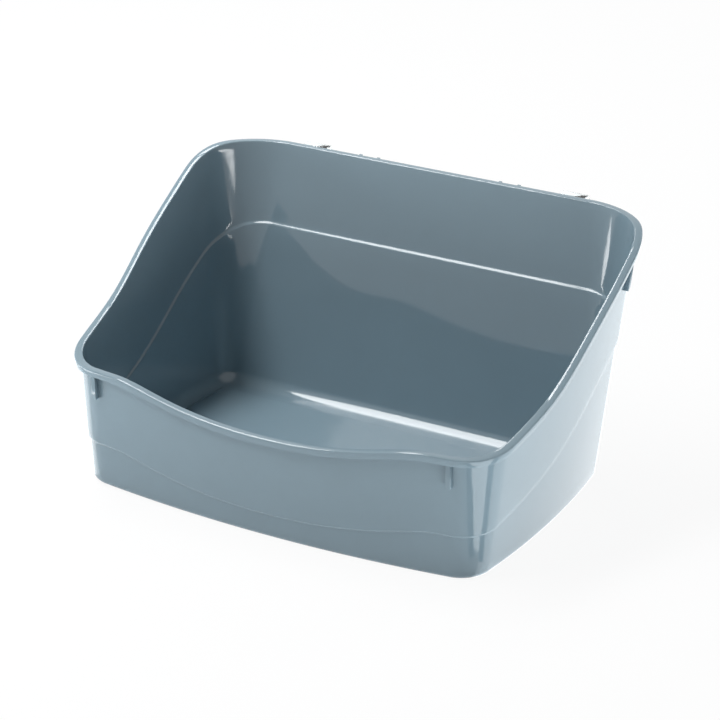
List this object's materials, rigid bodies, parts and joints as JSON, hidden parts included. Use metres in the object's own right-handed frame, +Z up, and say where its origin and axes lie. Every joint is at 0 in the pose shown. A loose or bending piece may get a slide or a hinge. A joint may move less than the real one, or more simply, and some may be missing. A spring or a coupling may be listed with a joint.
{
  "type": "small animal litter tray",
  "caption": "Open plastic litter tray with a low dipped front, high back, S-curved rim and clip-on cage hooks that slide off the rear lip.",
  "frame": {"origin": "centre of the whole object's bounding box in plan, on the surface that it stands on", "axes": "+X to the right seen from the low front, along the tray's longest extent; +Y to the high back wall; +Z up. The object mirrors left to right about the plane X = 0"},
  "size_m": [0.367, 0.271, 0.186],
  "materials": {
    "tray": "glossy injection-moulded polypropylene, blue-grey",
    "hook": "clear moulded plastic"
  },
  "bodies": {
    "tray": {"tray": "tray"},
    "hook_left": {"hook_left": "hook"},
    "hook_right": {"hook_right": "hook"}
  },
  "joints": [
    {"name": "hook_left_slide", "type": "slide", "parent": "tray", "child": "hook_left", "axis": [0, 0, -1], "range_m": [0, 0.03]},
    {"name": "hook_right_slide", "type": "slide", "parent": "tray", "child": "hook_right", "axis": [0, 0, -1], "range_m": [0, 0.03]}
  ]
}
